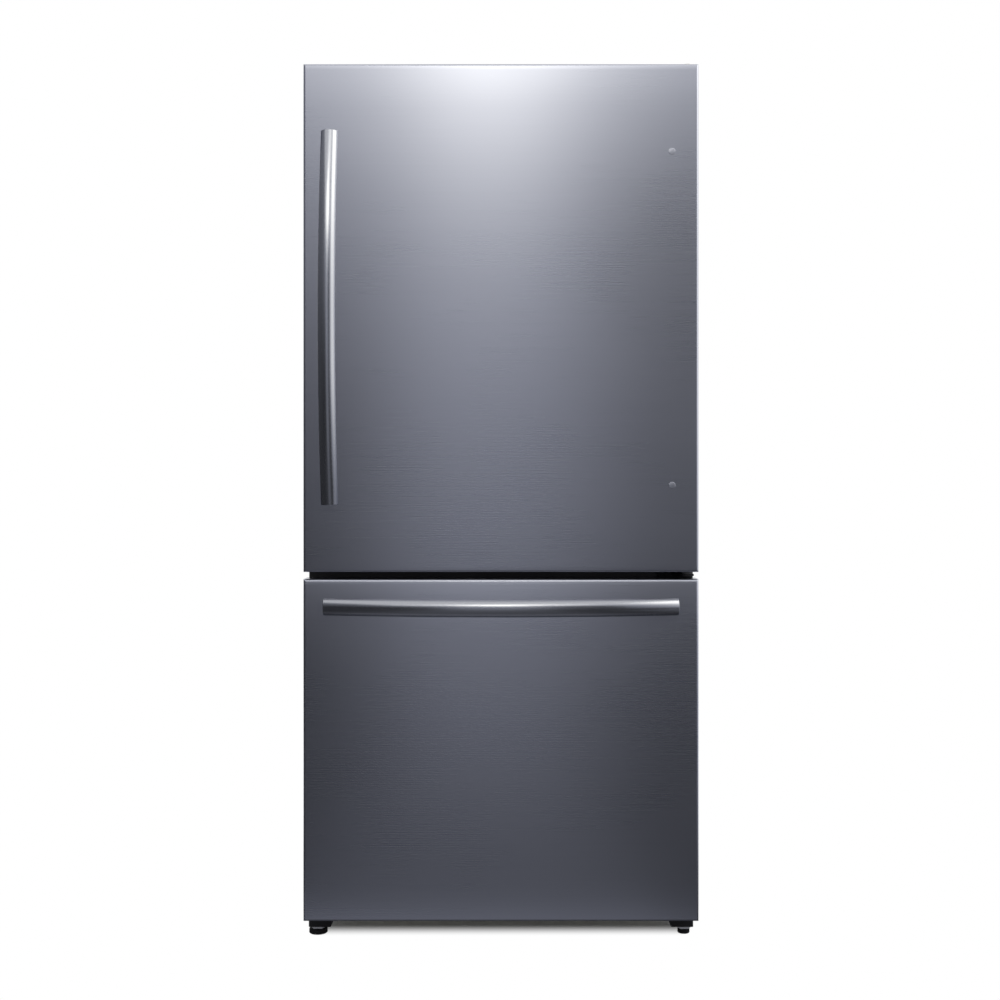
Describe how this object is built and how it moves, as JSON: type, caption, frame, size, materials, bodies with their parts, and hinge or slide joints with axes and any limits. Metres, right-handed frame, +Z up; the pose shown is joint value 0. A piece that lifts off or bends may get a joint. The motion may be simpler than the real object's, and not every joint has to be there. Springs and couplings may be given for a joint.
{
  "type": "bottom freezer refrigerator",
  "caption": "Free-standing refrigerator with a hinged fresh food door above a pull-out freezer drawer, bowed bar handles, shelves, crispers, bins and cooling machinery.",
  "frame": {"origin": "on the floor under the middle of the whole object", "axes": "+Z up, -Y the front with the door and drawer, +X the hinge side"},
  "size_m": [0.795, 0.73, 1.785],
  "materials": {
    "brushed_front": "satin",
    "handle_metal": "satin",
    "cabinet_paint": "satin",
    "back_sheet": "satin",
    "zinc_steel": "satin",
    "black_steel": "satin",
    "liner_white": "gloss",
    "trim_grey": "satin",
    "hinge_cover_grey": "satin",
    "clear_plastic": "gloss",
    "shelf_glass": "gloss",
    "diffuser": "satin",
    "gasket_rubber": "matte",
    "foot_rubber": "matte",
    "roller_plastic": "satin",
    "foam": "matte",
    "coil_metal": "satin",
    "coil_black": "satin",
    "fan_plastic": "satin",
    "bush_plastic": "satin",
    "button_white": "satin"
  },
  "bodies": {
    "cabinet": {"cabinet_shell": "cabinet_paint", "cabinet_back_panel": "back_sheet", "insulation": "foam", "fridge_liner": "liner_white", "freezer_liner": "liner_white", "front_cross_rails": "cabinet_paint", "base_frame": "zinc_steel", "machine_cover": "back_sheet", "power_inlet": "hinge_cover_grey", "compressor": "coil_black", "condenser_coil": "coil_black", "condenser_fan_shroud": "hinge_cover_grey", "evaporator_coil": "coil_metal", "freezer_back_panel": "liner_white", "shelf_frames": "liner_white", "shelf_glasses": "shelf_glass", "crisper_cover": "liner_white", "fridge_air_duct": "liner_white", "control_panel": "trim_grey", "light_diffuser": "diffuser", "top_hinge": "zinc_steel", "top_hinge_cover": "hinge_cover_grey", "middle_hinge": "black_steel", "hinge_screws": "black_steel", "slide_outer_rails": "zinc_steel", "front_foot_brackets": "black_steel", "rear_roller_brackets": "zinc_steel"},
    "door": {"door_skin": "brushed_front", "door_end_caps": "trim_grey", "door_foam": "foam", "door_liner": "liner_white", "door_gasket": "gasket_rubber", "door_handle": "handle_metal", "door_handle_posts": "handle_metal", "handle_hole_plugs": "handle_metal", "hinge_bushes": "bush_plastic", "dairy_bin": "clear_plastic", "door_bin_middle": "clear_plastic", "door_bin_lower": "clear_plastic"},
    "dairy_lid": {"dairy_lid": "clear_plastic"},
    "drawer": {"drawer_skin": "brushed_front", "drawer_foam": "foam", "drawer_liner": "liner_white", "drawer_gasket": "gasket_rubber", "drawer_handle": "handle_metal", "drawer_handle_posts": "handle_metal", "drawer_frame": "zinc_steel", "freezer_basket": "liner_white"},
    "slide_middle": {"slide_middle_rails": "zinc_steel"},
    "freezer_tray": {"freezer_tray": "clear_plastic"},
    "crisper_left": {"crisper_left": "clear_plastic"},
    "crisper_right": {"crisper_right": "clear_plastic"},
    "evaporator_fan": {"evaporator_fan": "fan_plastic"},
    "condenser_fan": {"condenser_fan": "fan_plastic"},
    "button_colder": {"button_colder": "button_white"},
    "button_warmer": {"button_warmer": "button_white"},
    "foot_left": {"foot_left": "foot_rubber"},
    "foot_right": {"foot_right": "foot_rubber"},
    "roller_left": {"roller_left": "roller_plastic"},
    "roller_right": {"roller_right": "roller_plastic"}
  },
  "joints": [
    {"name": "door_swing", "type": "hinge", "parent": "cabinet", "child": "door", "pos_m": [0.378, -0.275, 1.26], "axis": [0, 0, 1], "range_deg": [0, 130]},
    {"name": "drawer_slide", "type": "slide", "parent": "cabinet", "child": "drawer", "axis": [0, -1, 0], "range_m": [0, 0.4]},
    {"name": "slide_middle", "type": "slide", "parent": "cabinet", "child": "slide_middle", "axis": [0, -1, 0], "range_m": [0, 0.2]},
    {"name": "freezer_tray_slide", "type": "slide", "parent": "cabinet", "child": "freezer_tray", "axis": [0, -1, 0], "range_m": [0, 0.24]},
    {"name": "crisper_left_slide", "type": "slide", "parent": "cabinet", "child": "crisper_left", "axis": [0, -1, 0], "range_m": [0, 0.25]},
    {"name": "crisper_right_slide", "type": "slide", "parent": "cabinet", "child": "crisper_right", "axis": [0, -1, 0], "range_m": [0, 0.25]},
    {"name": "dairy_lid_hinge", "type": "hinge", "parent": "door", "child": "dairy_lid", "pos_m": [0, -0.2217, 1.529], "axis": [1, 0, 0], "range_deg": [0, 75]},
    {"name": "evaporator_fan_spin", "type": "hinge", "parent": "cabinet", "child": "evaporator_fan", "pos_m": [0, 0.27, 0.625], "axis": [0, 1, 0], "continuous": true},
    {"name": "condenser_fan_spin", "type": "hinge", "parent": "cabinet", "child": "condenser_fan", "pos_m": [0.185, 0.17, 0.125], "axis": [0, 1, 0], "continuous": true},
    {"name": "button_colder_press", "type": "slide", "parent": "cabinet", "child": "button_colder", "axis": [0, 1, 0], "range_m": [0, 0.0015], "stiffness_N_per_m": 300},
    {"name": "button_warmer_press", "type": "slide", "parent": "cabinet", "child": "button_warmer", "axis": [0, 1, 0], "range_m": [0, 0.0015], "stiffness_N_per_m": 300},
    {"name": "foot_left_turn", "type": "hinge", "parent": "cabinet", "child": "foot_left", "pos_m": [-0.378, -0.218, 0.02], "axis": [0, 0, 1], "continuous": true},
    {"name": "foot_right_turn", "type": "hinge", "parent": "cabinet", "child": "foot_right", "pos_m": [0.378, -0.218, 0.02], "axis": [0, 0, 1], "continuous": true},
    {"name": "roller_left_roll", "type": "hinge", "parent": "cabinet", "child": "roller_left", "pos_m": [-0.34, 0.33, 0.013], "axis": [1, 0, 0], "continuous": true},
    {"name": "roller_right_roll", "type": "hinge", "parent": "cabinet", "child": "roller_right", "pos_m": [0.34, 0.33, 0.013], "axis": [1, 0, 0], "continuous": true}
  ],
  "couplings": [
    {"joint": "slide_middle", "follows": "drawer_slide", "ratio": 0.5},
    {"joint": "freezer_tray_slide", "follows": "drawer_slide", "ratio": 0.6},
    {"joint": "crisper_left_slide", "follows": "door_swing", "m_per_rad": 0.1101},
    {"joint": "crisper_right_slide", "follows": "door_swing", "m_per_rad": 0.1101}
  ]
}
